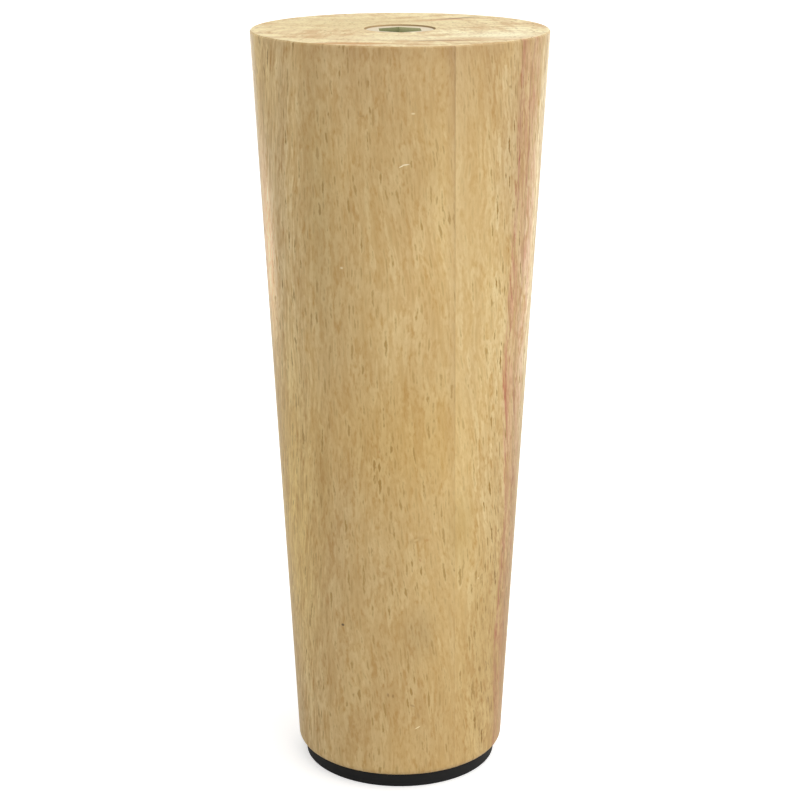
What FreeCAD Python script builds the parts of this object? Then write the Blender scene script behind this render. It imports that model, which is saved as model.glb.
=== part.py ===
import FreeCAD, Part
import Sketcher
import enum
import math
import os
import re

# A tapered round furniture leg, turned from one pale hardwood blank and stood on its foot.
# A zinc insert with a hexagon drive is screwed into the top to take an M8 bolt,
# and a thin black rubber pad is stuck under the foot.
# Millimetres. The origin is the middle of the pad's lower face, and +Z runs up the leg's axis.

SIZES = {
    # the turned leg
    "leg_height": 150.0,        # from the flat under the foot to the top face
    "top_dia": 58.5,            # across the top, before its edge is eased
    "foot_dia": 43.0,           # across the foot, before its edge is rounded
    "top_ease": 0.3,            # how far the top edge is taken off
    "foot_round": 1.5,          # radius of the foot's edge
    # the threaded insert
    "insert_length": 20.0,
    "insert_core_dia": 13.6,    # across the insert's body, inside its outer thread
    "insert_set_in": 0.25,      # how far its face lies below the top of the leg
    "insert_edge": 0.2,         # chamfer round its face
    "lead_in_length": 2.5,      # the tapered lower end that finds the hole
    "lead_in_depth": 1.0,       # how far that end is drawn in, on the radius
    "hex_across_flats": 8.0,    # the socket for an 8 mm key
    "hex_depth": 6.0,
    "hex_turn": 2.5,            # degrees that the screwed-in socket stands round from square
    "bolt_bore_dia": 6.8,       # the tapping size of M8
    "bore_mouth": 0.5,          # countersink at each end of the bolt's thread, on the radius
    # the insert's coarse outer thread, which cuts its own way into the wood
    "wood_thread_height": 1.0,
    "wood_thread_pitch": 3.5,
    "wood_thread_root": 1.6,    # width of the sharp ridge where it is rooted in the body
    "thread_below_face": 2.2,   # from the insert's face to the middle of the last turn
    "thread_above_end": 1.2,    # from its lower end to the middle of the first turn
    "thread_runout": 2.5,       # length over which the last turn fades into the body
    "thread_root_sink": 0.3,    # how deep the ridge is rooted in the body
    # the hole in the leg
    "hole_clearance": 0.2,      # between the insert's body and the wood, on the radius
    "thread_clearance": 0.03,   # between the ridge and the groove that it cut
    "bolt_room": 12.0,          # drilled on below the insert for the end of a long bolt
    "drill_point": 118.0,       # degrees, the cone that the drill leaves
    # the foot pad
    "pad_thickness": 3.0,
    "pad_inset": 1.5,           # from the foot's full radius to the pad's edge
    "pad_edge": 0.2,            # how far the pad's lower edge is worn off
}

# Heights and radii that several pieces share, each worked out from the sizes above.
INSERT_IN_LEG = "leg_height - insert_set_in - insert_length"
THREAD_RUN = "insert_length - thread_below_face - thread_above_end"
CORE_RADIUS = "insert_core_dia / 2"
CREST_RADIUS = "(insert_core_dia / 2 + wood_thread_height)"


class Point(enum.IntEnum):
    """The ends and the centre of a line or circle, as a sketch's constraints number them."""

    START = 1
    END = 2
    CENTRE = 3


class Axis(enum.IntEnum):
    """A sketch's own two axes, as its constraints number them."""

    ACROSS = -1
    UP = -2


ORIGIN = (Axis.ACROSS, Point.START)
FULL_TURN = 360
HEX_SIDES = 6
SAME_EDGE = 1e-6            # how closely a circular edge must match the one looked for

doc = FreeCAD.newDocument("furniture_leg")
sheet = doc.addObject("Spreadsheet::Sheet", "Sizes")


def fill_sheet():
    for row, (alias, value) in enumerate(SIZES.items(), start=1):
        sheet.set(f"A{row}", alias.replace("_", " "))
        sheet.set(f"B{row}", str(value))
        sheet.setAlias(f"B{row}", alias)
    doc.recompute()


def rule(text):
    """Write a formula of sizes the way that the document reads it."""
    return re.sub(r"[a-z]+(_[a-z]+)+", lambda word: f"Sizes.{word.group()}", text)


def number(text):
    """What a formula of sizes comes to now."""
    return float(sheet.evalExpression(rule(text)))


def bind(thing, prop, text):
    thing.setExpression(prop, rule(text))


def make_body(name, height):
    """A body on the leg's axis, with its own origin at a height above the floor."""
    body = doc.addObject("PartDesign::Body", name)
    body.Label = name
    bind(body, "Placement.Base.z", height)
    return body


def make_sketch(body, name, role, height="0"):
    """A sketch on one of the body's origin planes, lifted to a height where one is given."""
    plane = next(item for item in body.Origin.OriginFeatures if item.Role == role)
    sketch = body.newObject("Sketcher::SketchObject", name)
    sketch.AttachmentSupport = [(plane, "")]
    sketch.MapMode = "FlatFace"
    bind(sketch, "AttachmentOffset.Base.z", height)
    return sketch


def dimension(sketch, kind, where, text, unit=""):
    """Add one driving dimension and tie it to the sheet."""
    start = math.radians(number(text)) if unit else number(text)
    index = sketch.addConstraint(Sketcher.Constraint(kind, *where, start))
    sketch.setExpression(f"Constraints[{index}]", rule(text) + unit)


def add_outline(sketch, corners):
    """A closed outline of straight lines. Each corner is how far it lies across and up."""
    points = [FreeCAD.Vector(number(across), number(up), 0) for across, up in corners]
    first = sketch.GeometryCount
    count = len(points)
    for index, point in enumerate(points):
        sketch.addGeometry(Part.LineSegment(point, points[(index + 1) % count]), False)
    for index, (across, up) in enumerate(corners):
        line = first + index
        after = first + (index + 1) % count
        sketch.addConstraint(Sketcher.Constraint("Coincident", line, Point.END, after, Point.START))
        if across == "0":
            sketch.addConstraint(Sketcher.Constraint("PointOnObject", line, Point.START, Axis.UP))
        else:
            dimension(sketch, "DistanceX", (*ORIGIN, line, Point.START), across)
        if up == "0":
            sketch.addConstraint(Sketcher.Constraint("PointOnObject", line, Point.START, Axis.ACROSS))
        else:
            dimension(sketch, "DistanceY", (*ORIGIN, line, Point.START), up)


def add_circle(sketch, diameter, guide_only=False):
    """A circle about the leg's axis."""
    middle = FreeCAD.Vector(0, 0, 0)
    circle = Part.Circle(middle, FreeCAD.Vector(0, 0, 1), number(diameter) / 2)
    index = sketch.addGeometry(circle, guide_only)
    sketch.addConstraint(Sketcher.Constraint("Coincident", index, Point.CENTRE, *ORIGIN))
    dimension(sketch, "Diameter", (index,), diameter)
    return index


def add_hexagon(sketch, across_flats, turn):
    """A regular hexagon inside a guide circle, its first flat turned from the sketch's Y."""
    guide = add_circle(sketch, f"{across_flats} / cos(30 deg)", guide_only=True)
    step = math.tau / HEX_SIDES
    reach = FreeCAD.Vector(number(across_flats) / 2 / math.cos(step / 2), 0, 0)
    spin = FreeCAD.Rotation(FreeCAD.Vector(0, 0, 1), number(turn) - FULL_TURN / HEX_SIDES / 2)
    points = []
    for side in range(HEX_SIDES):
        round_axis = FreeCAD.Rotation(FreeCAD.Vector(0, 0, 1), FULL_TURN / HEX_SIDES * side)
        points.append((round_axis * spin).multVec(reach))
    first = sketch.GeometryCount
    for side in range(HEX_SIDES):
        after = points[(side + 1) % HEX_SIDES]
        sketch.addGeometry(Part.LineSegment(points[side], after), False)
    for side in range(HEX_SIDES):
        line = first + side
        after = first + (side + 1) % HEX_SIDES
        sketch.addConstraint(Sketcher.Constraint("Coincident", line, Point.END, after, Point.START))
        sketch.addConstraint(Sketcher.Constraint("PointOnObject", line, Point.START, guide))
        if side:
            sketch.addConstraint(Sketcher.Constraint("Equal", first, line))
    dimension(sketch, "Angle", (first,), f"(90 + {turn})", " * 1 deg")


def ridge_corners(axis_height, slack="0"):
    """The section of the outer thread, or with slack that of the groove it runs in.

    Its inner side lies a little inside the body, so that the ridge is rooted all the way.
    """
    inside = f"{CORE_RADIUS} - thread_root_sink"
    half_root = f"(wood_thread_root / 2 + {slack})"
    return [
        (inside, f"{axis_height} - {half_root}"),
        (f"{CREST_RADIUS} + {slack}", axis_height),
        (inside, f"{axis_height} + {half_root}"),
    ]


def turn_solid(body, name, corners, kind="Revolution"):
    """Turn an outline round the axis, to add to the body or to cut a groove in it."""
    sketch = make_sketch(body, f"{name}_profile", "YZ_Plane")
    add_outline(sketch, corners)
    feature = body.newObject(f"PartDesign::{kind}", name)
    feature.Profile = sketch
    feature.ReferenceAxis = (sketch, ["V_Axis"])
    feature.Angle = FULL_TURN
    doc.recompute()


def wind_thread(body, name, corners, kind):
    """Carry a section round and up the axis along the run of the outer thread."""
    sketch = make_sketch(body, f"{name}_profile", "XZ_Plane")
    add_outline(sketch, corners)
    feature = body.newObject(f"PartDesign::{kind}", name)
    feature.Profile = sketch
    feature.ReferenceAxis = (sketch, ["V_Axis"])
    feature.Mode = "pitch-height-angle"
    bind(feature, "Pitch", "wood_thread_pitch")
    bind(feature, "Height", THREAD_RUN)
    doc.recompute()


def round_edge(feature, diameter, height):
    """The name of the feature's circular edge of this diameter at this height on its body."""
    for index, edge in enumerate(feature.Shape.Edges, start=1):
        curve = edge.Curve
        if not isinstance(curve, Part.Circle):
            continue
        same_size = abs(curve.Radius * 2 - number(diameter)) < SAME_EDGE
        if same_size and abs(curve.Center.z - number(height)) < SAME_EDGE:
            return f"Edge{index}"
    raise ValueError(f"{feature.Label} has no edge of {diameter} at {height}")


def finish_edge(body, name, edges, size, kind="Fillet"):
    """Round or chamfer circular edges, each given by its diameter and height."""
    base = body.Tip
    names = [round_edge(base, diameter, height) for diameter, height in edges]
    feature = body.newObject(f"PartDesign::{kind}", name)
    feature.Base = (base, names)
    bind(feature, "Radius" if kind == "Fillet" else "Size", size)
    doc.recompute()


def drill(body, name, diameter, height):
    """Start a hole down the axis from a height. The caller says how it ends."""
    sketch = make_sketch(body, f"{name}_centre", "XY_Plane", height)
    add_circle(sketch, diameter)
    doc.recompute()
    hole = body.newObject("PartDesign::Hole", name)
    hole.Profile = sketch
    doc.recompute()
    bind(hole, "Diameter", diameter)
    return hole


def make_leg():
    """The leg, turned from one blank, with the insert's hole and the groove of its thread."""
    body = make_body("turned_leg", "pad_thickness")
    outline = [
        ("0", "0"),
        ("foot_dia / 2", "0"),
        ("top_dia / 2", "leg_height"),
        ("0", "leg_height"),
    ]
    turn_solid(body, "taper", outline)
    finish_edge(body, "foot_edge", [("foot_dia", "0")], "foot_round")
    finish_edge(body, "top_edge", [("top_dia", "leg_height")], "top_ease", "Chamfer")
    hole = drill(body, "insert_hole", "insert_core_dia + 2 * hole_clearance", "leg_height")
    hole.DepthType = "Dimension"
    bind(hole, "Depth", "insert_set_in + insert_length + bolt_room")
    hole.DrillPoint = "Angled"
    bind(hole, "DrillPointAngle", "drill_point")
    doc.recompute()
    groove = ridge_corners(f"{INSERT_IN_LEG} + thread_above_end", "thread_clearance")
    wind_thread(body, "cut_thread", groove, "SubtractiveHelix")
    return body


def make_insert():
    """The insert, with a hexagon socket, a bore, a tapered lower end and an outer thread."""
    body = make_body("threaded_insert", f"pad_thickness + {INSERT_IN_LEG}")
    core = [
        ("0", "0"),
        (CORE_RADIUS, "0"),
        (CORE_RADIUS, "insert_length"),
        ("0", "insert_length"),
    ]
    turn_solid(body, "core", core)
    face = [("insert_core_dia", "insert_length")]
    finish_edge(body, "face_edge", face, "insert_edge", "Chamfer")

    sketch = make_sketch(body, "socket_outline", "XY_Plane", "insert_length")
    add_hexagon(sketch, "hex_across_flats", "hex_turn")
    doc.recompute()
    socket = body.newObject("PartDesign::Pocket", "hex_socket")
    socket.Profile = sketch
    bind(socket, "Length", "hex_depth")
    doc.recompute()
    bore = drill(body, "bolt_bore", "bolt_bore_dia", "insert_length - hex_depth")
    bore.DepthType = "ThroughAll"
    bore.HoleCutType = "Countersink"
    bore.HoleCutCustomValues = True
    bind(bore, "HoleCutDiameter", "bolt_bore_dia + 2 * bore_mouth")
    doc.recompute()
    finish_edge(body, "bore_end", [("bolt_bore_dia", "0")], "bore_mouth", "Chamfer")

    # One cone tapers the lower end, body and thread alike. Another fades the last turn out.
    wind_thread(body, "wood_thread", ridge_corners("thread_above_end"), "AdditiveHelix")
    outside = f"{CORE_RADIUS} + 2 * wood_thread_height"
    full_depth = "(lead_in_depth + 2 * wood_thread_height)"
    lead_in = [
        (f"{CORE_RADIUS} - lead_in_depth", "0"),
        (outside, "0"),
        (outside, f"lead_in_length * {full_depth} / lead_in_depth"),
    ]
    turn_solid(body, "lead_in", lead_in, "Groove")
    last_turn = "insert_length - thread_below_face + wood_thread_root / 2"
    runout = [
        (CORE_RADIUS, last_turn),
        (outside, f"{last_turn} - thread_runout * 2"),
        (outside, last_turn),
    ]
    turn_solid(body, "thread_fade", runout, "Groove")
    return body


def make_pad():
    """The round foot pad, cut from sheet rubber."""
    body = make_body("foot_pad", "0")
    diameter = "foot_dia - 2 * pad_inset"
    sketch = make_sketch(body, "disc_outline", "XY_Plane")
    add_circle(sketch, diameter)
    disc = body.newObject("PartDesign::Pad", "disc")
    disc.Profile = sketch
    bind(disc, "Length", "pad_thickness")
    doc.recompute()
    finish_edge(body, "worn_edge", [(diameter, "0")], "pad_edge", "Chamfer")
    return body


def check(bodies):
    """Stop before anything is written if a feature failed or a piece isn't one sound solid."""
    for item in doc.Objects:
        if "Invalid" in item.State or "Error" in item.State:
            raise RuntimeError(f"{item.Label} failed: {item.State}")
    for body in bodies:
        shape = body.Shape
        if shape.isNull() or not shape.isValid() or len(shape.Solids) != 1:
            raise RuntimeError(f"{body.Label} is not one sound solid")
        print(f"{body.Label}: {shape.Volume:.1f} cubic millimetres")


def write(bodies):
    os.makedirs("parts", exist_ok=True)
    for body in bodies:
        body.Shape.exportStep(f"parts/{body.Label}.step")


fill_sheet()
pieces = [make_leg(), make_insert(), make_pad()]
doc.recompute()
check(pieces)
write(pieces)
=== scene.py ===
"""The looks of a turned wooden furniture leg: rubberwood, a zinc M8 insert and a rubber foot pad."""

import math
from typing import NamedTuple

import bmesh
import bpy
from bpy.props import FloatProperty, FloatVectorProperty, IntProperty, PointerProperty
from mathutils import Matrix, Vector


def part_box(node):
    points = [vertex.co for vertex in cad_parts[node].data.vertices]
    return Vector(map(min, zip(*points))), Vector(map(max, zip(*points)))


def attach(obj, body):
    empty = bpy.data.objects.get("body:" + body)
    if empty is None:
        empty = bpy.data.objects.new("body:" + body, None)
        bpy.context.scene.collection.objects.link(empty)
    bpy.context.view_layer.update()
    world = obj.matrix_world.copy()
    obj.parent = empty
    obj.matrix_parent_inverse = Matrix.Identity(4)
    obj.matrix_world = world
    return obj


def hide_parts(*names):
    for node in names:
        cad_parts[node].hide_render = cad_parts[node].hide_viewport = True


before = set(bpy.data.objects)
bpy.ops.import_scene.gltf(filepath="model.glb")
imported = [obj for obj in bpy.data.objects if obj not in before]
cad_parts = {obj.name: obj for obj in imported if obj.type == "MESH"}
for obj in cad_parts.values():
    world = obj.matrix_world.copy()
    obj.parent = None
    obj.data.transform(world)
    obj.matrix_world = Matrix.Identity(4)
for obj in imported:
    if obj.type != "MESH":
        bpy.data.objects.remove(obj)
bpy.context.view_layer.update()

bl_info = {
    "name": "Tapered furniture leg",
    "version": (1, 0, 0),
    "blender": (4, 5, 0),
    "location": "View3D > Sidebar > Furniture leg",
    "description": "Finishes a turned rubberwood leg, its M8 insert and its rubber foot pad",
    "category": "Object",
}

MM = 0.001
MM_PER_METRE = 1000.0

LEG, INSERT, PAD = "turned_leg", "threaded_insert", "foot_pad"
BODY = "root"


def linear(code):
    """Turn an sRGB hex colour such as "c4a872" into a linear RGBA colour."""
    channels = [int(code[place : place + 2], 16) / 255 for place in (0, 2, 4)]
    low, slope, offset, power = 0.04045, 12.92, 0.055, 2.4
    bright = [c / slope if c <= low else ((c + offset) / (1 + offset)) ** power for c in channels]
    return (*bright, 1.0)


def colour_setting(name, description, code):
    """A colour in the panel, with its default as an sRGB hex colour."""
    return FloatVectorProperty(
        name=name, description=description, subtype="COLOR", size=4, min=0.0, max=1.0, default=linear(code)
    )


class WoodSettings(bpy.types.PropertyGroup):
    """Colours and grain of the turned leg."""

    pale: colour_setting(
        name="Pale grain",
        description="Colour of the lightest bands on the side",
        code="cca965",
    )
    deep: colour_setting(
        name="Deep grain",
        description="Colour of the darkest bands on the side",
        code="ba9555",
    )
    vessel: colour_setting(
        name="Vessel lines",
        description="Colour of the open pores, which the lathe cut into short dashes",
        code="997010",
    )
    end_grain: colour_setting(
        name="End grain",
        description="Colour of the sawn top and foot",
        code="f2e0ab",
    )
    end_flecks: colour_setting(
        name="End grain flecks",
        description="Colour of the brown flecks in the sawn top and foot",
        code="d0aa70",
    )
    vessel_radius: FloatProperty(
        name="Vessel radius",
        description="Radius of one pore",
        unit="LENGTH",
        default=0.31 * MM,
    )
    ring_spacing: FloatProperty(
        name="Growth band spacing",
        description="Distance between growth bands, across them",
        unit="LENGTH",
        default=3.0 * MM,
    )


class InsertSettings(bpy.types.PropertyGroup):
    """The M8 thread and the metal of the insert."""

    major_diameter: FloatProperty(
        name="Thread diameter",
        description="Diameter at the roots of the M8 thread, kept just inside the hexagon's flats",
        unit="LENGTH",
        default=7.9 * MM,
    )
    pitch: FloatProperty(
        name="Thread pitch",
        description="Distance between neighbouring ridges of the M8 thread",
        unit="LENGTH",
        default=1.25 * MM,
    )
    steps_per_turn: IntProperty(
        name="Steps per turn",
        description="How many straight pieces one turn of the thread has",
        default=48,
        min=12,
    )
    metal: colour_setting(
        name="Zinc",
        description="Colour of the cast zinc",
        code="cec0a2",
    )
    # Painted shade and light: the first film colour, for the walls that face right, is painted shade, and
    # the second, for the walls that face left, is painted light; the film's green is the plating's own.
    film: colour_setting(
        name="Shaded plating film",
        description="Colour of the walls that face right, which keep the plating's green film",
        code="82835f",
    )
    lit_film: colour_setting(
        name="Lit plating film",
        description="Colour of the walls that face left, where the green film is painted lighter as painted light",
        code="b5b488",
    )


class PadSettings(bpy.types.PropertyGroup):
    """The rubber of the foot pad."""

    rubber: colour_setting(
        name="Rubber",
        description="Colour of the sheet rubber",
        code="141414",
    )


class StudioSettings(bpy.types.PropertyGroup):
    """The camera, the floor and the lamps."""

    camera_distance: FloatProperty(
        name="Camera distance",
        description="From the leg's axis to the camera, along the floor",
        unit="LENGTH",
        default=402.72 * MM,
    )
    camera_height: FloatProperty(
        name="Camera height",
        description="Height of the camera over the floor",
        unit="LENGTH",
        default=198.05 * MM,
    )
    camera_pitch: FloatProperty(
        name="Camera pitch",
        description="How far the camera looks down",
        subtype="ANGLE",
        default=math.radians(16.668),
    )
    focal_length: FloatProperty(
        name="Focal length",
        description="Focal length of the lens on a 36 mm sensor, in millimetres",
        default=92.173,
    )
    key: FloatProperty(
        name="Key light",
        description="Strength of the soft light from the right",
        default=1.6,
    )
    overhead: FloatProperty(
        name="Overhead light",
        description="Strength of the soft light from above and behind",
        default=0.6,
    )
    front: FloatProperty(
        name="Front light",
        description="Strength of the soft light from the front",
        default=0.3,
    )
    rim_left: FloatProperty(
        name="Left rim light",
        description="Power in watts of the low square lamp behind the leg on the left",
        default=0.1,
    )
    rim_right: FloatProperty(
        name="Right rim light",
        description="Power in watts of the low square lamp behind the leg on the right",
        default=0.07,
    )
    fill: FloatProperty(
        name="Fill light",
        description="Strength of the even light from the white room",
        default=0.5,
    )
    floor: colour_setting(
        name="Floor",
        description="Colour of the white paper floor",
        code="e8e8e8",
    )


def settings():
    """The sizes and colours that the panel shows."""
    return bpy.context.scene.furniture_leg


def add(tree, kind, feeds=None, **options):
    """Add a node, set its options, and feed its inputs with values, sockets or nodes' first outputs."""
    node = tree.nodes.new(kind)
    for name, value in options.items():
        setattr(node, name, value)
    for place, value in (feeds or {}).items():
        if isinstance(value, bpy.types.Node):
            value = value.outputs[0]
        if isinstance(value, bpy.types.NodeSocket):
            tree.links.new(value, node.inputs[place])
        else:
            node.inputs[place].default_value = value
    return node


# A Mix node that works on colours has its factor, first and second colour and result here.
MIX_FACTOR, MIX_UNDER, MIX_OVER, MIX_RESULT = 0, 6, 7, 2


def new_material(name):
    """An empty node material and its Principled shader."""
    material = bpy.data.materials.new(name)
    material.use_nodes = True
    tree = material.node_tree
    tree.nodes.clear()
    shader = add(tree, "ShaderNodeBsdfPrincipled")
    add(tree, "ShaderNodeOutputMaterial", {"Surface": shader})
    return material, tree, shader


# Rubberwood, glued up from two staves, turned, sanded and given a thin matt clear coat.

# The wood's radius at its top and foot and the heights of both, in mm.
TOP_RADIUS, FOOT_RADIUS = 29.25, 21.5
LEG_TOP, LEG_FOOT = 153.0, 3.0
# Radius at which the leg's side is unrolled for its marks, halfway up.
MEAN_RADIUS = (TOP_RADIUS + FOOT_RADIUS) / 2
# Radius of the drilled hole and a little more.
HOLE_REACH = 8.2
# The glue joint is a plane: how far right of the leg's axis it passes at the top, in mm, how far it
# moves right for each unit down, and how far left for each unit back.
JOINT_AT_TOP = -0.83
JOINT_LEAN = 0.0321
JOINT_TURN = 0.4
# The right-hand stave is other wood, so its grain is read from elsewhere, in mm.
OTHER_STAVE = (0.0, 0.0, 400.0)
# The top's chamfer is pale from this depth under the top, and fully so from this one, in mm.
CHAMFER_DEPTH, CHAMFER_FULL = 0.07, 0.04
# The growth bands of each stave face a little left and right of the front, in degrees.
LEFT_FACING, RIGHT_FACING = -10.0, 14.0
# For each unit down, the fibres run this much to the right and back.
FIBRE_LEAN = (0.07, 0.11)
# How far the fibres wander sideways, in mm.
WANDER = 6.0
# Dark flecks are browner and pale ones creamier, so blue changes most and red least.
DARK_TINT = (0.72, 0.52, 0.0, 1.0)
LIGHT_TINT = (1.28, 1.46, 2.1, 1.0)
# How strongly the flecks and the soft columns show beside each other.
FLECK_WEIGHT, COLUMN_WEIGHT = 0.8, 0.5
# How strongly the texture shows, from the left edge (0) to the right edge (1) as seen from the front:
# most where the bands are cut on edge, and least right of the middle, where they lie flat.
TEXTURE_ACROSS = (
    (0.0, 1.15),
    (0.12, 1.05),
    (0.18, 0.82),
    (0.64, 0.77),
    (0.7, 0.7),
    (0.78, 0.78),
    (0.84, 1.2),
    (1.0, 1.25),
)


class Mark(NamedTuple):
    """A soft oval spot or band on the side of the leg."""

    about: str
    angle: float
    height: float
    half_width: float
    half_height: float
    lean: float
    colour: str
    strength: float
    edge: float


# Angles in degrees to the right of the front, heights and sizes in mm, leans in degrees.
MARKS = (
    Mark("left end of the scratch", 0.5, 130.86, 0.62, 0.12, 26.0, "f8ecc8", 0.95, 0.4),
    Mark("right end of the scratch", 2.1, 131.18, 0.95, 0.13, 7.0, "f8ecc8", 0.95, 0.4),
    Mark("pale spot", 4.84, 140.7, 0.5, 0.25, 0.0, "f3e3b4", 0.6, 0.3),
    Mark("foot of a nick", -14.24, 140.15, 0.7, 0.15, 4.0, "8f7440", 0.4, 0.3),
    Mark("stem of a nick", -15.5, 140.7, 0.15, 0.7, 4.0, "8f7440", 0.35, 0.3),
    Mark("pale spot, left", -24.07, 110.91, 0.45, 0.3, 0.0, "e9d8ac", 0.7, 0.3),
    Mark("orange spot in the middle", -9.35, 74.34, 0.5, 0.4, 0.0, "c08a4c", 0.4, 0.2),
    Mark("swirl round a pin knot", 7.54, 55.82, 2.4, 1.0, 20.0, "a9803f", 0.5, 0.0),
    Mark("pin knot", 7.54, 55.82, 0.9, 0.4, 20.0, "e6cd90", 0.5, 0.0),
    Mark("orange spot by the knot", 12.79, 55.67, 0.8, 0.5, 0.0, "b8843f", 0.6, 0.0),
    Mark("two dark dashes, left", -6.2, 21.74, 0.3, 0.6, 8.0, "7b5a2c", 0.5, 0.3),
    Mark("two dark dashes, right", -3.6, 21.55, 0.3, 0.55, 8.0, "7b5a2c", 0.5, 0.3),
    Mark("brown arc, left", 6.6, 19.3, 0.8, 0.35, -25.0, "96703a", 0.5, 0.2),
    Mark("brown arc, right", 9.6, 17.0, 0.35, 1.0, 20.0, "a07c46", 0.4, 0.2),
    Mark("orange arc under the knot", 9.55, 51.47, 0.3, 0.6, 30.0, "b0743c", 0.5, 0.2),
    Mark("dark speck", -29.74, 36.23, 0.45, 0.35, 0.0, "4a3418", 0.9, 0.4),
    Mark("pale nick", 9.34, 14.26, 0.85, 0.16, 25.0, "f3e4b4", 0.8, 0.4),
    Mark("pale spot, right", 41.8, 45.29, 0.3, 0.25, 0.0, "f0dfae", 0.6, 0.3),
)


class EndMark(NamedTuple):
    """A soft oval stain on the sawn top."""

    about: str
    right: float
    back: float
    half_length: float
    half_width: float
    lean: float
    colour: str
    strength: float
    edge: float


# Places and sizes in mm from the leg's axis, leans in degrees.
END_MARKS = (
    EndMark("tan behind the insert", -8.0, 9.0, 34.0, 20.0, 0.0, "d6be82", 0.6, 0.0),
    EndMark("cream at the right", 19.0, -11.0, 13.0, 9.0, 0.0, "fff6cc", 0.8, 0.0),
    EndMark("cream at the front", 0.0, -16.0, 18.0, 6.0, 0.0, "faeec0", 0.6, 0.0),
    EndMark("orange at the back right", 9.0, 15.6, 9.0, 2.4, 20.0, "d29a62", 0.55, 0.0),
    EndMark("dark line at the back right", 12.0, 18.4, 7.5, 1.0, 32.0, "80592c", 1.0, 0.2),
    EndMark("orange band at the front left", -9.0, -24.4, 11.0, 2.0, 0.0, "cb944f", 0.95, 0.3),
    EndMark("brown line at the front right", 8.0, -20.0, 8.5, 1.0, 5.0, "966c38", 0.95, 0.2),
)


class Cast(NamedTuple):
    """A large soft oval on the side where the wood's colour is multiplied by a tint: mostly stains of the
    wood, and at the two edges painted highlights.
    """

    about: str
    angle: float
    height: float
    half_width: float
    half_height: float
    tint: tuple


# Angles in degrees, heights and sizes in mm; the tints are for red, green and blue.
CASTS = (
    Cast("brown at the top", 0.0, 152.0, 42.0, 24.0, (0.92, 0.9, 0.93)),
    Cast("brown column low on the left", -38.0, 68.0, 3.5, 24.0, (0.9, 0.86, 0.72)),
    Cast("brown low on the right-hand stave", 30.0, 57.0, 5.5, 14.0, (0.85, 0.82, 0.7)),
    Cast("shade under the top edge", 0.0, 152.0, 60.0, 3.0, (0.94, 0.92, 0.9)),
    Cast("brown by the strip", 48.0, 134.0, 6.5, 32.0, (0.87, 0.84, 0.85)),
    Cast("paler right-hand stave", 35.0, 80.0, 9.5, 100.0, (1.12, 1.17, 1.26)),
    Cast("olive column at the left", -34.0, 122.0, 6.0, 44.0, (0.86, 0.85, 0.8)),
    Cast("pale figure over half height", 6.0, 108.0, 12.0, 30.0, (1.16, 1.19, 1.25)),
    # Painted highlights: these two casts lighten the wood in bands along the left and right edges, where
    # light is reflected.
    Cast("painted highlight at the left edge", -73.0, 112.0, 7.0, 33.0, (2.0, 2.05, 2.8)),
    Cast("painted highlight at the right edge", 72.0, 110.0, 6.5, 48.0, (1.42, 1.55, 2.05)),
    Cast("yellow at the upper left", -72.0, 148.0, 12.0, 24.0, (1.1, 1.05, 0.72)),
    Cast("yellow low on the left", -70.0, 58.0, 18.0, 62.0, (1.08, 1.01, 0.6)),
    Cast("brown low on the right", 72.0, 24.0, 28.0, 64.0, (0.77, 0.7, 0.5)),
    Cast("yellow under the figure", 0.0, 76.0, 26.0, 20.0, (1.0, 0.96, 0.82)),
    Cast("brown over the foot", 10.0, 35.0, 5.0, 10.0, (0.84, 0.82, 0.78)),
)


class Streak(NamedTuple):
    """A stained growth band, which runs through a stave and shows on the side and on the top."""

    about: str
    on_right: bool
    depth: float
    half_width: float
    edge: float
    tint: tuple
    on_side: float
    on_top: float


# For each unit down, a stain moves this much towards the side from where the fibres would take it.
STAIN_LEAN = 0.032
# How ragged the edge of a stain is, in mm.
STAIN_RAGGED = 1.2
# Depths in mm from the leg's axis towards the bands' facing, at the top of the leg; the tints are for
# red, green and blue.
STREAKS = (
    Streak("pink strip on the right", True, 20.0, 3.6, 0.6, (0.88, 0.64, 0.74), 1.0, 0.3),
    Streak("cream strip at the right edge", True, 10.0, 7.5, 0.7, (1.3, 1.5, 1.9), 0.6, 0.3),
    Streak("red line in the pink strip", True, 22.8, 0.8, 0.3, (0.78, 0.42, 0.34), 1.0, 0.5),
    Streak("brown line over the strip", True, 20.1, 0.6, 0.2, (0.75, 0.6, 0.45), 0.9, 0.5),
    Streak("brown line past the strip", True, 16.2, 0.6, 0.2, (0.8, 0.68, 0.55), 0.8, 0.3),
    Streak("thin dark line at the back left", False, -11.0, 0.5, 0.2, (0.7, 0.6, 0.5), 0.2, 0.8),
)


class VesselLayer(NamedTuple):
    """Vessels of one kind: how far apart, how thick, and how faint and dark they are."""

    spacing: float
    thickness: float
    faintest: float
    darkest: float


# Spacings in mm; the thickness is a share of the vessel radius in the settings.
VESSEL_LAYERS = (VesselLayer(0.95, 1.0, 0.1, 1.0), VesselLayer(0.75, 0.7, 0.0, 0.7))
# An open stretch of a vessel is this many times longer than it is wide.
VESSEL_STRETCH = 8.0
# How ragged a vessel's outline is, in vessel radii.
VESSEL_RAGGED = 3.2
# A vessel and its pale rim, which is a painted highlight along the pore's raised edge: where each starts
# and is full, in vessel radii past the ragged outline, and how strong it is.
VESSEL_COVER, RIM_HIGHLIGHT_COVER = (-0.5, -1.4, 1.0), (1.2, -0.2, 0.35)
# Strips beside the glue joint: where each ends, in mm right of the joint, its colour and its strength.
JOINT_STRIPS = ((-2.4, "a88356", 0.4), (-0.5, "8f7040", 0.25), (4.5, "e6cb95", 0.28))
# The strips fade to this share at this depth under the top, in mm.
JOINT_FADED, JOINT_FADE_DEPTH = 0.25, 90.0


def grain(tree, place, sizes, detail, roughness):
    """Noise whose patches have these sizes in mm along the three axes."""
    shares = add(tree, "ShaderNodeVectorMath", {0: place, 1: sizes}, operation="DIVIDE")
    return add(
        tree,
        "ShaderNodeTexNoise",
        {"Vector": shares, "Scale": 1.0, "Detail": detail, "Roughness": roughness},
    )


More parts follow.
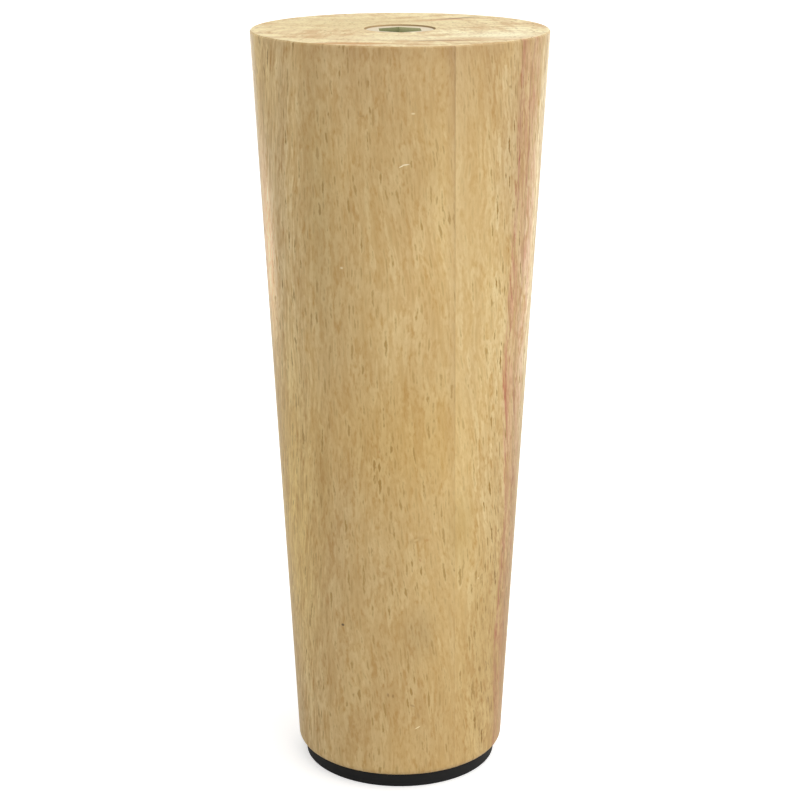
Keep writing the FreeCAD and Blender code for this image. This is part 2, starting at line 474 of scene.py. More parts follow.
def rubberwood():
    """Sanded rubberwood: warm straw colour, open pores as short dark dashes, a sheen at grazing angles."""
    wood = settings().wood
    material, tree, shader = new_material("Rubberwood turned and clear-coated")
    places = add(tree, "ShaderNodeTexCoord")
    point = add(
        tree,
        "ShaderNodeVectorMath",
        {0: places.outputs["Object"], "Scale": MM_PER_METRE},
        operation="SCALE",
    ).outputs[0]
    parts = add(tree, "ShaderNodeSeparateXYZ", {0: point})
    drop = add(tree, "ShaderNodeMath", {0: LEG_TOP, 1: parts.outputs["Z"]}, operation="SUBTRACT")

    joint = add(
        tree, "ShaderNodeMath", {0: drop, 1: JOINT_LEAN, 2: JOINT_AT_TOP}, operation="MULTIPLY_ADD"
    )
    turned = add(
        tree,
        "ShaderNodeMath",
        {0: parts.outputs["Y"], 1: JOINT_TURN, 2: parts.outputs["X"]},
        operation="MULTIPLY_ADD",
    )
    past_joint = add(tree, "ShaderNodeMath", {0: turned, 1: joint}, operation="SUBTRACT").outputs[0]
    right_stave = add(
        tree, "ShaderNodeMath", {0: past_joint, 1: 0.0}, operation="GREATER_THAN"
    ).outputs[0]

    fibre, banded = wood_grain_places(tree, point, drop.outputs[0], right_stave)
    depth = add(tree, "ShaderNodeSeparateXYZ", {0: banded}).outputs["Y"]

    # Growth bands a few millimetres apart, the slowest change of colour.
    bands = grain(tree, banded, (22.0, wood.ring_spacing / MM, 60.0), 2.0, 0.5)
    # Thin layers of cells, seen edge-on at the left and right as fine lines.
    layers = grain(tree, banded, (3.0, 0.38, 7.0), 2.0, 0.6)
    # Flecks of ray cells, about 0.6 mm wide and 1.6 mm long.
    flecks = grain(tree, fibre, (0.6, 0.6, 1.6), 2.0, 0.6)
    # Soft columns along the fibres, 3 mm wide.
    columns = grain(tree, fibre, (3.0, 3.0, 28.0), 3.0, 0.6)
    vessels, rim_highlights = open_vessels(tree, fibre, flecks.outputs[0], wood)

    flat = add(
        tree, "ShaderNodeVectorMath", {0: point, 1: (1.0, 1.0, 0.0)}, operation="MULTIPLY"
    ).outputs[0]
    outward = add(tree, "ShaderNodeVectorMath", {0: flat}, operation="NORMALIZE")
    to_right = add(tree, "ShaderNodeSeparateXYZ", {0: outward}).outputs["X"]
    contrast = texture_contrast(tree, to_right)
    vessels, rim_highlights = (
        add(tree, "ShaderNodeMath", {0: cover, 1: contrast}, operation="MULTIPLY").outputs[0]
        for cover in (vessels, rim_highlights)
    )
    colour = side_grain(tree, to_right, contrast, bands, layers, flecks, columns, wood)
    for streak in STREAKS:
        colour = lay_streak(
            tree, depth, drop.outputs[0], right_stave, layers.outputs[0], colour, streak, streak.on_side
        )
    # Each pore gets its pale rim, a painted highlight of end grain colour, and then its dark core.
    for cover, over in ((rim_highlights, wood.end_grain), (vessels, wood.vessel)):
        colour = add(
            tree,
            "ShaderNodeMix",
            {MIX_FACTOR: cover, MIX_UNDER: colour, MIX_OVER: over},
            data_type="RGBA",
        ).outputs[MIX_RESULT]
    colour = lay_joint(tree, past_joint, drop.outputs[0], colour)
    unrolled = unrolled_place(tree, parts)
    # The casts tint the wood; two of them are painted highlights along the left and right edges.
    for cast in CASTS:
        colour = lay_cast(tree, unrolled, colour, cast)
    for mark in MARKS:
        colour = lay_mark(tree, unrolled, *on_side(mark), colour, mark)
    radius = add(tree, "ShaderNodeVectorMath", {0: flat}, operation="LENGTH")
    in_hole = add(
        tree, "ShaderNodeMath", {0: radius.outputs["Value"], 1: HOLE_REACH}, operation="LESS_THAN"
    ).outputs[0]
    # The wall of the drilled hole is rough, and painted dark as painted shade in the hole.
    colour = add(
        tree,
        "ShaderNodeMix",
        {MIX_FACTOR: in_hole, MIX_UNDER: colour, MIX_OVER: linear("b8986c")},
        data_type="RGBA",
    ).outputs[MIX_RESULT]

    sawn = sawn_parts(tree, places, drop.outputs[0], in_hole)
    end_colour = end_grain(
        tree, flat, banded, depth, drop.outputs[0], right_stave, vessels, bands, wood
    )
    colour = add(
        tree,
        "ShaderNodeMix",
        {MIX_FACTOR: sawn, MIX_UNDER: colour, MIX_OVER: end_colour},
        data_type="RGBA",
    ).outputs[MIX_RESULT]

    # The flecks stand out of the sanded wood a little, and the vessels are pits in it.
    pits = add(tree, "ShaderNodeMath", {0: vessels, 1: -0.3}, operation="MULTIPLY")
    height = add(tree, "ShaderNodeMath", {0: flecks, 1: 0.4, 2: pits}, operation="MULTIPLY_ADD")
    relief = add(tree, "ShaderNodeBump", {"Height": height, "Strength": 0.4, "Distance": 0.05 * MM})
    tree.links.new(colour, shader.inputs["Base Color"])
    tree.links.new(relief.outputs[0], shader.inputs["Normal"])
    # The saw left the ends rougher than the sanded side.
    rough = add(tree, "ShaderNodeMapRange", {"Value": sawn, "To Min": 0.5, "To Max": 0.85})
    tree.links.new(rough.outputs[0], shader.inputs["Roughness"])
    shader.inputs["Coat Weight"].default_value = 0.3
    shader.inputs["Coat Roughness"].default_value = 0.35
    return material


def sawn_parts(tree, places, drop, in_hole):
    """One on the sawn ends and on the top's chamfer, which the lathe cut through the same wood."""
    facing = add(tree, "ShaderNodeSeparateXYZ", {0: places.outputs["Normal"]})
    tilt = add(tree, "ShaderNodeMath", {0: facing.outputs["Z"]}, operation="ABSOLUTE")
    flat_end = add(
        tree,
        "ShaderNodeMapRange",
        {"Value": tilt, "From Min": 0.8, "From Max": 0.9},
        interpolation_type="SMOOTHSTEP",
    )
    near_top = add(
        tree, "ShaderNodeMapRange", {"Value": drop, "From Min": CHAMFER_DEPTH, "From Max": CHAMFER_FULL}
    )
    on_edge = add(
        tree, "ShaderNodeMath", {0: near_top, 1: in_hole}, operation="SUBTRACT", use_clamp=True
    )
    return add(tree, "ShaderNodeMath", {0: flat_end, 1: on_edge}, operation="MAXIMUM").outputs[0]


def unrolled_place(tree, parts):
    """The side unrolled: the arc to the right of the front and the height, both in mm."""
    forward = add(tree, "ShaderNodeMath", {0: parts.outputs["Y"], 1: -1.0}, operation="MULTIPLY")
    turn = add(tree, "ShaderNodeMath", {0: parts.outputs["X"], 1: forward}, operation="ARCTAN2")
    arc = add(tree, "ShaderNodeMath", {0: turn, 1: MEAN_RADIUS}, operation="MULTIPLY")
    return add(tree, "ShaderNodeCombineXYZ", {"X": arc, "Y": parts.outputs["Z"]}).outputs[0]


def wood_grain_places(tree, point, drop, right_stave):
    """Places in mm that follow the fibres, and the same places turned so that -Y is the bands' depth."""
    lean = add(tree, "ShaderNodeCombineXYZ", {"X": -FIBRE_LEAN[0], "Y": -FIBRE_LEAN[1]})
    sheared = add(tree, "ShaderNodeVectorMath", {0: lean, "Scale": drop}, operation="SCALE")
    straight = add(tree, "ShaderNodeVectorMath", {0: point, 1: sheared}, operation="ADD")
    stave_shift = add(
        tree, "ShaderNodeVectorMath", {0: OTHER_STAVE, "Scale": right_stave}, operation="SCALE"
    )
    in_stave = add(tree, "ShaderNodeVectorMath", {0: straight, 1: stave_shift}, operation="ADD")
    # The fibres wander sideways by a millimetre or two.
    wander = grain(tree, in_stave.outputs[0], (22.0, 22.0, 40.0), 2.0, 0.5)
    centred = add(
        tree,
        "ShaderNodeVectorMath",
        {0: wander.outputs["Color"], 1: (0.5, 0.5, 0.5)},
        operation="SUBTRACT",
    )
    fibre = add(
        tree,
        "ShaderNodeVectorMath",
        {0: centred, 1: (WANDER, WANDER, 0.0), 2: in_stave},
        operation="MULTIPLY_ADD",
    ).outputs[0]
    facing_angle = add(
        tree,
        "ShaderNodeMapRange",
        {
            "Value": right_stave,
            "To Min": math.radians(-LEFT_FACING),
            "To Max": math.radians(-RIGHT_FACING),
        },
    )
    banded = add(
        tree, "ShaderNodeVectorRotate", {"Vector": fibre, "Angle": facing_angle}, rotation_type="Z_AXIS"
    ).outputs[0]
    return fibre, banded


def texture_contrast(tree, to_right):
    """The texture's strength by how far to the right the side faces, following TEXTURE_ACROSS."""
    across = add(tree, "ShaderNodeMath", {0: to_right, 1: 0.5, 2: 0.5}, operation="MULTIPLY_ADD")
    ramp = add(tree, "ShaderNodeValToRGB", {0: across})
    stops = ramp.color_ramp.elements
    while len(stops) < len(TEXTURE_ACROSS):
        stops.new(1.0)
    # A ramp's colours end at one, so it holds half of each strength.
    for stop, (place, strength) in zip(stops, TEXTURE_ACROSS):
        stop.position = place
        stop.color = (strength / 2, strength / 2, strength / 2, 1.0)
    return add(tree, "ShaderNodeMath", {0: ramp, 1: 2.0}, operation="MULTIPLY").outputs[0]


def side_grain(tree, to_right, contrast, bands, layers, flecks, columns, wood):
    """The side's colour: bands of two colours, lighter and darker in columns, layers and flecks."""
    band_level = add(tree, "ShaderNodeMapRange", {"Value": bands, "From Min": 0.25, "From Max": 0.75})
    colour = add(
        tree,
        "ShaderNodeMix",
        {MIX_FACTOR: band_level, MIX_UNDER: wood.deep, MIX_OVER: wood.pale},
        data_type="RGBA",
    )
    # The bands face the front, so their layers show as lines at the two edges.
    off_middle = add(tree, "ShaderNodeMath", {0: to_right, 1: 0.1}, operation="SUBTRACT")
    edge_on = add(tree, "ShaderNodeMath", {0: off_middle}, operation="ABSOLUTE")
    layer_weight = add(
        tree,
        "ShaderNodeMapRange",
        {"Value": edge_on, "From Min": 0.6, "From Max": 0.9, "To Min": 0.15, "To Max": 2.0},
    )
    layer_level = add(tree, "ShaderNodeMath", {0: layers, 1: 0.5}, operation="SUBTRACT")
    texture = add(tree, "ShaderNodeMath", {0: layer_level, 1: layer_weight}, operation="MULTIPLY")
    for noise, weight in ((flecks, FLECK_WEIGHT), (columns, COLUMN_WEIGHT)):
        # The noises lie around a half, which the offset takes off again.
        level = add(
            tree, "ShaderNodeMath", {0: noise, 1: weight, 2: -weight / 2}, operation="MULTIPLY_ADD"
        )
        texture = add(tree, "ShaderNodeMath", {0: level, 1: texture}, operation="ADD")
    level = add(
        tree,
        "ShaderNodeMath",
        {0: texture, 1: contrast, 2: 0.5},
        operation="MULTIPLY_ADD",
        use_clamp=True,
    )
    shade = add(
        tree,
        "ShaderNodeMix",
        {MIX_FACTOR: level, MIX_UNDER: DARK_TINT, MIX_OVER: LIGHT_TINT},
        data_type="RGBA",
    )
    return add(
        tree,
        "ShaderNodeVectorMath",
        {0: colour.outputs[MIX_RESULT], 1: shade.outputs[MIX_RESULT]},
        operation="MULTIPLY",
    ).outputs[0]


def end_grain(tree, flat, banded, depth, drop, right_stave, vessels, bands, wood):
    """The sawn ends' colour: cream with brown flecks, stained bands, and the vessels as dots."""
    blotches = grain(tree, banded, (2.2, 5.0, 5.0), 3.0, 0.65)
    # The two noises together lie around one, and most of the wood is pale.
    level = add(tree, "ShaderNodeMath", {0: blotches, 1: bands}, operation="ADD")
    paleness = add(tree, "ShaderNodeMapRange", {"Value": level, "From Min": 0.75, "From Max": 1.15})
    colour = add(
        tree,
        "ShaderNodeMix",
        {MIX_FACTOR: paleness, MIX_UNDER: wood.end_flecks, MIX_OVER: wood.end_grain},
        data_type="RGBA",
    ).outputs[MIX_RESULT]
    for streak in STREAKS:
        colour = lay_streak(
            tree, depth, drop, right_stave, blotches.outputs[0], colour, streak, streak.on_top
        )
    for mark in END_MARKS:
        middle, halves = (mark.right, mark.back), (mark.half_length, mark.half_width)
        colour = lay_mark(tree, flat, middle, halves, colour, mark)
    # The saw smeared the vessels a little, so they show less than on the side.
    some = add(tree, "ShaderNodeMath", {0: vessels, 1: 0.8}, operation="MULTIPLY")
    return add(
        tree,
        "ShaderNodeMix",
        {MIX_FACTOR: some, MIX_UNDER: colour, MIX_OVER: wood.vessel},
        data_type="RGBA",
    ).outputs[MIX_RESULT]


def open_vessels(tree, fibre, noise, wood):
    """How open the wood is, and where pores have pale rims, painted highlights along their edges.

    The pores are long ovals along the fibres, which the side cuts into short ragged dashes.
    """
    squeezed = add(
        tree, "ShaderNodeVectorMath", {0: fibre, 1: (1.0, 1.0, 1 / VESSEL_STRETCH)}, operation="MULTIPLY"
    )
    vessels, rim_highlights = 0.0, 0.0
    for layer in VESSEL_LAYERS:
        cells = add(tree, "ShaderNodeTexVoronoi", {"Vector": squeezed, "Scale": 1 / layer.spacing})
        radius = wood.vessel_radius / MM * layer.thickness / layer.spacing
        ragged = add(
            tree,
            "ShaderNodeMath",
            {0: noise, 1: -VESSEL_RAGGED * radius, 2: cells.outputs["Distance"]},
            operation="MULTIPLY_ADD",
        )
        chance = add(tree, "ShaderNodeSeparateColor", {0: cells.outputs["Color"]})
        darkness = add(
            tree,
            "ShaderNodeMapRange",
            {"Value": chance, "To Min": layer.faintest, "To Max": layer.darkest},
        )
        found = []
        for (outer, inner, share), earlier in ((VESSEL_COVER, vessels), (RIM_HIGHLIGHT_COVER, rim_highlights)):
            inside = add(
                tree,
                "ShaderNodeMapRange",
                {
                    "Value": ragged,
                    "From Min": outer * radius,
                    "From Max": inner * radius,
                    "To Max": share,
                },
                interpolation_type="SMOOTHSTEP",
            )
            some = add(tree, "ShaderNodeMath", {0: inside, 1: darkness}, operation="MULTIPLY")
            most = add(tree, "ShaderNodeMath", {0: some, 1: earlier}, operation="MAXIMUM")
            found.append(most.outputs[0])
        vessels, rim_highlights = found
    return vessels, rim_highlights


def lay_streak(tree, depth, drop, right_stave, noise, colour, streak, strength):
    """Stain one growth band of one stave, with a ragged edge and more in some places than in others."""
    leant = add(tree, "ShaderNodeMath", {0: drop, 1: STAIN_LEAN, 2: depth}, operation="MULTIPLY_ADD")
    ragged = add(tree, "ShaderNodeMath", {0: noise, 1: STAIN_RAGGED, 2: leant}, operation="MULTIPLY_ADD")
    away = add(tree, "ShaderNodeMath", {0: ragged, 1: streak.depth - STAIN_RAGGED / 2}, operation="ADD")
    far = add(tree, "ShaderNodeMath", {0: away}, operation="ABSOLUTE")
    cover = add(
        tree,
        "ShaderNodeMapRange",
        {
            "Value": far,
            "From Min": streak.half_width,
            "From Max": streak.half_width * streak.edge,
            "To Max": strength,
        },
        interpolation_type="SMOOTHSTEP",
    )
    kept = add(
        tree, "ShaderNodeMapRange", {"Value": noise, "From Min": 0.4, "From Max": 0.56, "To Min": 0.1}
    )
    broken = add(tree, "ShaderNodeMath", {0: cover, 1: kept}, operation="MULTIPLY")
    stave = right_stave
    if not streak.on_right:
        stave = add(tree, "ShaderNodeMath", {0: 1.0, 1: right_stave}, operation="SUBTRACT").outputs[0]
    here = add(tree, "ShaderNodeMath", {0: broken, 1: stave}, operation="MULTIPLY")
    return add(
        tree,
        "ShaderNodeMix",
        {MIX_FACTOR: here, MIX_UNDER: colour, MIX_OVER: (*streak.tint, 1.0)},
        data_type="RGBA",
        blend_type="MULTIPLY",
    ).outputs[MIX_RESULT]


def lay_joint(tree, past_joint, drop, colour):
    """Darken the left stave beside the glue joint and lighten the right one, most near the top."""
    fading = add(
        tree,
        "ShaderNodeMapRange",
        {"Value": drop, "From Max": JOINT_FADE_DEPTH, "To Min": 1.0, "To Max": JOINT_FADED},
    )
    for end, code, strength in JOINT_STRIPS:
        beside = add(
            tree,
            "ShaderNodeMapRange",
            {"Value": past_joint, "From Min": end, "From Max": 0.0, "To Max": strength},
        )
        side = add(
            tree,
            "ShaderNodeMath",
            {0: past_joint, 1: 0.0},
            operation="LESS_THAN" if end < 0 else "GREATER_THAN",
        )
        there = add(tree, "ShaderNodeMath", {0: beside, 1: side}, operation="MULTIPLY")
        faded = add(tree, "ShaderNodeMath", {0: there, 1: fading}, operation="MULTIPLY")
        colour = add(
            tree,
            "ShaderNodeMix",
            {MIX_FACTOR: faded, MIX_UNDER: colour, MIX_OVER: linear(code)},
            data_type="RGBA",
        ).outputs[MIX_RESULT]
    return colour


def oval(tree, place, middle, halves, lean, edge, strength):
    """How much an oval covers: its strength inside its edge, falling to nothing at its outline."""
    within = add(
        tree,
        "ShaderNodeMapping",
        {
            "Vector": place,
            "Location": (*middle, 0.0),
            "Rotation": (0.0, 0.0, math.radians(lean)),
            "Scale": (*halves, 1.0),
        },
        vector_type="TEXTURE",
    )
    away = add(tree, "ShaderNodeVectorMath", {0: within}, operation="LENGTH")
    return add(
        tree,
        "ShaderNodeMapRange",
        {"Value": away.outputs["Value"], "From Min": 1.0, "From Max": edge, "To Max": strength},
        interpolation_type="SMOOTHSTEP",
    ).outputs[0]


def on_side(patch):
    """The middle and the two half sizes of a patch on the unrolled side, in mm."""
    slope = (TOP_RADIUS - FOOT_RADIUS) / (LEG_TOP - LEG_FOOT)
    stretch = MEAN_RADIUS / (FOOT_RADIUS + slope * (patch.height - LEG_FOOT))
    middle = (math.radians(patch.angle) * MEAN_RADIUS, patch.height)
    return middle, (patch.half_width * stretch, patch.half_height)


def lay_cast(tree, unrolled, colour, cast):
    """Tint the wood's colour in one large soft oval."""
    return add(
        tree,
        "ShaderNodeMix",
        {
            MIX_FACTOR: oval(tree, unrolled, *on_side(cast), 0.0, 0.0, 1.0),
            MIX_UNDER: colour,
            MIX_OVER: (*cast.tint, 1.0),
        },
        data_type="RGBA",
        blend_type="MULTIPLY",
    ).outputs[MIX_RESULT]


def lay_mark(tree, place, middle, halves, colour, mark):
    """Lay one soft oval over the wood's colour."""
    return add(
        tree,
        "ShaderNodeMix",
        {
            MIX_FACTOR: oval(tree, place, middle, halves, mark.lean, mark.edge, mark.strength),
            MIX_UNDER: colour,
            MIX_OVER: linear(mark.colour),
        },
        data_type="RGBA",
    ).outputs[MIX_RESULT]


def zinc():
    """Die-cast zinc: dull grey with a green cast, slightly rough, tapped and broached bright."""
    material, tree, shader = new_material("Zinc die-cast and tapped")
    places = add(tree, "ShaderNodeTexCoord")
    # The cast skin's pimples are 0.4 mm apart.
    skin = add(
        tree,
        "ShaderNodeTexNoise",
        {"Vector": places.outputs["Object"], "Scale": 1 / (0.4 * MM), "Detail": 3.0},
    )
    dull = add(
        tree,
        "ShaderNodeMapRange",
        {"Value": skin, "From Min": 0.3, "From Max": 0.7, "To Min": 0.42, "To Max": 0.6},
    )
    relief = add(tree, "ShaderNodeBump", {"Height": skin, "Strength": 0.3, "Distance": 0.02 * MM})
    # The faces square to the axis are rubbed bright, and the walls keep the plating's green film.
    facing = add(tree, "ShaderNodeSeparateXYZ", {0: places.outputs["Normal"]})
    tilt = add(tree, "ShaderNodeMath", {0: facing.outputs["Z"]}, operation="ABSOLUTE")
    square = add(
        tree,
        "ShaderNodeMapRange",
        {"Value": tilt, "From Min": 0.4, "From Max": 0.9},
        interpolation_type="SMOOTHSTEP",
    )
    # Painted shade and light: the walls that face right get the darker film colour as painted shade, and
    # those that face left the lighter one as painted light.
    shaded_side = add(
        tree, "ShaderNodeMapRange", {"Value": facing.outputs["X"], "From Min": -0.3, "From Max": 0.3}
    )
    film = add(
        tree,
        "ShaderNodeMix",
        {
            MIX_FACTOR: shaded_side,
            MIX_UNDER: settings().insert.lit_film,
            MIX_OVER: settings().insert.film,
        },
        data_type="RGBA",
    )
    colour = add(
        tree,
        "ShaderNodeMix",
        {
            MIX_FACTOR: square,
            MIX_UNDER: film.outputs[MIX_RESULT],
            MIX_OVER: settings().insert.metal,
        },
        data_type="RGBA",
    )
    tree.links.new(colour.outputs[MIX_RESULT], shader.inputs["Base Color"])
    tree.links.new(dull.outputs[0], shader.inputs["Roughness"])
    tree.links.new(relief.outputs[0], shader.inputs["Normal"])
    shader.inputs["Metallic"].default_value = 1.0
    return material


def sheet_rubber():
    """Die-cut sheet rubber: near black and matt, with the faint skin that the rollers left."""
    material, tree, shader = new_material("Rubber sheet die-cut")
    places = add(tree, "ShaderNodeTexCoord")
    skin = add(
        tree,
        "ShaderNodeTexNoise",
        {"Vector": places.outputs["Object"], "Scale": 1 / (0.5 * MM), "Detail": 2.0},
    )
    relief = add(tree, "ShaderNodeBump", {"Height": skin, "Strength": 0.3, "Distance": 0.03 * MM})
    tree.links.new(relief.outputs[0], shader.inputs["Normal"])
    shader.inputs["Base Color"].default_value = settings().pad.rubber
    shader.inputs["Roughness"].default_value = 0.6
    shader.inputs["Specular IOR Level"].default_value = 0.25
    return material


def white_paper():
    """The floor: white paper that keeps the leg's shadow and is seen as white."""
    material, tree, shader = new_material("Paper white and matt")
    output = [node for node in tree.nodes if node.type == "OUTPUT_MATERIAL"][0]
    path = add(tree, "ShaderNodeLightPath")
    seen = path.outputs["Is Camera Ray"]
    glow = add(tree, "ShaderNodeMath", {0: seen, 1: FLOOR_GLOW}, operation="MULTIPLY")
    lift = add(tree, "ShaderNodeEmission", {"Color": (1.0, 1.0, 1.0, 1.0), "Strength": glow})
    both = add(tree, "ShaderNodeAddShader", {0: shader, 1: lift})
    tree.links.new(both.outputs[0], output.inputs["Surface"])
    shader.inputs["Base Color"].default_value = settings().studio.floor
    shader.inputs["Roughness"].default_value = 1.0
    shader.inputs["Specular IOR Level"].default_value = 0.0
    return material


# The hexagon socket as it is in the solid, and how its mouth is opened by the draft of the casting.
ACROSS_FLATS, SOCKET_TURN, SOCKET_DEPTH = 8.0 * MM, math.radians(2.5), 6.0 * MM
DRAFT_OPENING, DRAFT_DEPTH = 0.1 * MM, 0.6 * MM
# The thread's cutter reaches in to this radius, inside the bore, and this far past both of its ends.
CUTTER_INNER_RADIUS, CUTTER_SPARE = 3.2 * MM, 0.6 * MM


class LEG_OT_turned_leg(bpy.types.Operator):
    """Give the turned leg its rubberwood"""

    bl_idname = "furniture_leg.turned_leg"
    bl_label = "Finish the turned leg"
    bl_options = {"REGISTER", "UNDO"}

    def execute(self, context):
        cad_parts[LEG].material_slots[0].material = rubberwood()
        return {"FINISHED"}


def thread_cutter_tree():
    """A helical cutter with the section of a 60 degree thread groove."""
    tree = bpy.data.node_groups.new("Thread cutter", "GeometryNodeTree")
    sockets = {}
    for name, kind in (
        ("Geometry", "NodeSocketGeometry"),
        ("Root radius", "NodeSocketFloat"),
        ("Inner radius", "NodeSocketFloat"),
        ("Pitch", "NodeSocketFloat"),
        ("Turns", "NodeSocketFloat"),
        ("Bottom", "NodeSocketFloat"),
        ("Steps per turn", "NodeSocketInt"),
        ("Material", "NodeSocketMaterial"),
    ):
        sockets[name] = tree.interface.new_socket(name=name, in_out="INPUT", socket_type=kind)
    tree.interface.new_socket(name="Geometry", in_out="OUTPUT", socket_type="NodeSocketGeometry")
    given = add(tree, "NodeGroupInput")
    height = add(
        tree,
        "ShaderNodeMath",
        {0: given.outputs["Pitch"], 1: given.outputs["Turns"]},
        operation="MULTIPLY",
    )
    spiral = add(
        tree,
        "GeometryNodeCurveSpiral",
        {
            "Resolution": given.outputs["Steps per turn"],
            "Rotations": given.outputs["Turns"],
            "Start Radius": given.outputs["Root radius"],
            "End Radius": given.outputs["Root radius"],
            "Height": height,
        },
    )
    upright = add(tree, "GeometryNodeSetCurveNormal", {"Curve": spiral}, mode="Z_UP")
    # The groove is an eighth of the pitch wide at its root, and its walls open at 30 degrees each.
    root = add(tree, "ShaderNodeMath", {0: given.outputs["Pitch"], 1: 1 / 16}, operation="MULTIPLY")
    depth = add(
        tree,
        "ShaderNodeMath",
        {0: given.outputs["Root radius"], 1: given.outputs["Inner radius"]},
        operation="SUBTRACT",
    )
    mouth = add(
        tree,
        "ShaderNodeMath",
        {0: depth, 1: math.tan(math.radians(30)), 2: root},
        operation="MULTIPLY_ADD",
    )
    corners = []
    for along, across, sign in (
        (None, root, 1.0),
        (None, root, -1.0),
        (depth, mouth, -1.0),
        (depth, mouth, 1.0),
    ):
        side = add(tree, "ShaderNodeMath", {0: across, 1: sign}, operation="MULTIPLY")
        corner = add(tree, "ShaderNodeCombineXYZ", {"Y": side})
        if along is not None:
            tree.links.new(along.outputs[0], corner.inputs["X"])
        corners.append(corner)
    groove = add(
        tree,
        "GeometryNodeCurvePrimitiveQuadrilateral",
        {
            "Point 1": corners[0].outputs[0],
            "Point 2": corners[1].outputs[0],
            "Point 3": corners[2].outputs[0],
            "Point 4": corners[3].outputs[0],
        },
        mode="POINTS",
    )
    swept = add(
        tree, "GeometryNodeCurveToMesh", {"Curve": upright, "Profile Curve": groove, "Fill Caps": True}
    )
    lift = add(tree, "ShaderNodeCombineXYZ", {"Z": given.outputs["Bottom"]})
    placed = add(tree, "GeometryNodeTransform", {"Geometry": swept, "Translation": lift})
    real = add(tree, "GeometryNodeRealizeInstances", {0: placed})
    painted = add(
        tree, "GeometryNodeSetMaterial", {"Geometry": real, "Material": given.outputs["Material"]}
    )
    add(tree, "NodeGroupOutput", {0: painted})
    return tree, {name: socket.identifier for name, socket in sockets.items()}


def put_in_scene(name, data):
    """A new object in the scene."""
    made = bpy.data.objects.new(name, data)
    bpy.context.scene.collection.objects.link(made)
    return made


def settled(piece, name):
    """A plain mesh object with all of a piece's modifiers worked in."""
    bpy.context.view_layer.update()
    graph = bpy.context.evaluated_depsgraph_get()
    mesh = bpy.data.meshes.new_from_object(piece.evaluated_get(graph))
    mesh.name = name
    return put_in_scene(name, mesh)


def merged_copy(node, name):
    """A copy of a CAD node whose loose triangles are joined into one closed mesh."""
    mesh = node.data.copy()
    if "custom_normal" in mesh.attributes:
        mesh.attributes.remove(mesh.attributes["custom_normal"])
    shell = bmesh.new()
    shell.from_mesh(mesh)
    bmesh.ops.remove_doubles(shell, verts=shell.verts, dist=0.0005 * MM)
    shell.to_mesh(mesh)
    shell.free()
    return put_in_scene(name, mesh)


def socket_draft(face_height):
    """A six-sided cone that opens the hexagon socket a little towards the insert's face."""
    # The cone reaches past the face and past where it meets the walls by half of its depth.
    spare = DRAFT_DEPTH / 2
    narrow = ACROSS_FLATS / 2 - DRAFT_OPENING * spare / DRAFT_DEPTH
    wide = ACROSS_FLATS / 2 + DRAFT_OPENING * (1 + spare / DRAFT_DEPTH)
    to_corner = 1 / math.cos(math.radians(30))
    shell = bmesh.new()
    bmesh.ops.create_cone(
        shell,
        cap_ends=True,
        segments=6,
        radius1=narrow * to_corner,
        radius2=wide * to_corner,
        depth=DRAFT_DEPTH + 2 * spare,
        matrix=Matrix.Translation((0.0, 0.0, face_height - DRAFT_DEPTH / 2))
        @ Matrix.Rotation(SOCKET_TURN, 4, "Z"),
    )
    mesh = bpy.data.meshes.new("socket_draft")
    shell.to_mesh(mesh)
    shell.free()
    return put_in_scene("socket_draft", mesh)


class LEG_OT_threaded_insert(bpy.types.Operator):
    """Cut the M8 thread in the insert and give it its zinc"""

    bl_idname = "furniture_leg.threaded_insert"
    bl_label = "Finish the threaded insert"
    bl_options = {"REGISTER", "UNDO"}

    def execute(self, context):
        insert = settings().insert
        metal = zinc()
        low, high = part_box(INSERT)
        blank = merged_copy(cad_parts[INSERT], "insert_blank")
        cutter = put_in_scene("thread_cutter", bpy.data.meshes.new("thread_cutter"))
        tree, identifiers = thread_cutter_tree()
        helix = cutter.modifiers.new("Thread cutter", "NODES")
        helix.node_group = tree
        bottom = low.z - CUTTER_SPARE
        top = high.z - SOCKET_DEPTH + CUTTER_SPARE
        helix[identifiers["Root radius"]] = insert.major_diameter / 2
        helix[identifiers["Inner radius"]] = CUTTER_INNER_RADIUS
        helix[identifiers["Pitch"]] = insert.pitch
        helix[identifiers["Turns"]] = (top - bottom) / insert.pitch
        helix[identifiers["Bottom"]] = bottom
        helix[identifiers["Steps per turn"]] = insert.steps_per_turn
        helix[identifiers["Material"]] = metal
        tool = settled(cutter, "thread_tool")
        shell = bmesh.new()
        shell.from_mesh(tool.data)
        bmesh.ops.recalc_face_normals(shell, faces=shell.faces)
        shell.to_mesh(tool.data)
        shell.free()
        draft = socket_draft(high.z)
        for name, cutting in (("Cut thread", tool), ("Open the socket", draft)):
            cut = blank.modifiers.new(name, "BOOLEAN")
            cut.operation = "DIFFERENCE"
            cut.solver = "EXACT"
            cut.object = cutting
        piece = settled(blank, "insert_body")
        for helper in (tool, draft, cutter, blank):
            bpy.data.objects.remove(helper)
        piece.data.shade_smooth()
        piece.data.set_sharp_from_angle(angle=math.radians(30))
        piece.data.materials.clear()
        piece.data.materials.append(metal)
        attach(piece, BODY)
        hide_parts(INSERT)
        return {"FINISHED"}


class LEG_OT_foot_pad(bpy.types.Operator):
    """Give the foot pad its rubber"""

    bl_idname = "furniture_leg.foot_pad"
    bl_label = "Finish the foot pad"
    bl_options = {"REGISTER", "UNDO"}

    def execute(self, context):
        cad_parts[PAD].material_slots[0].material = sheet_rubber()
        return {"FINISHED"}


# The floor glows this much for the camera, so that it is seen as white all over.
FLOOR_GLOW = 0.5


def soft_lamp(name, strength, azimuth, elevation, width):
    """A far lamp as wide in the sky as width, in degrees to the right of the front and over the floor."""
    lamp = bpy.data.lights.new(name, "SUN")
    lamp.energy = strength
    lamp.angle = math.radians(width)
    made = put_in_scene(name, lamp)
    around, up = math.radians(azimuth), math.radians(elevation)
    towards = Vector((math.sin(around) * math.cos(up), -math.cos(around) * math.cos(up), math.sin(up)))
    made.rotation_euler = towards.to_track_quat("Z", "Y").to_euler()


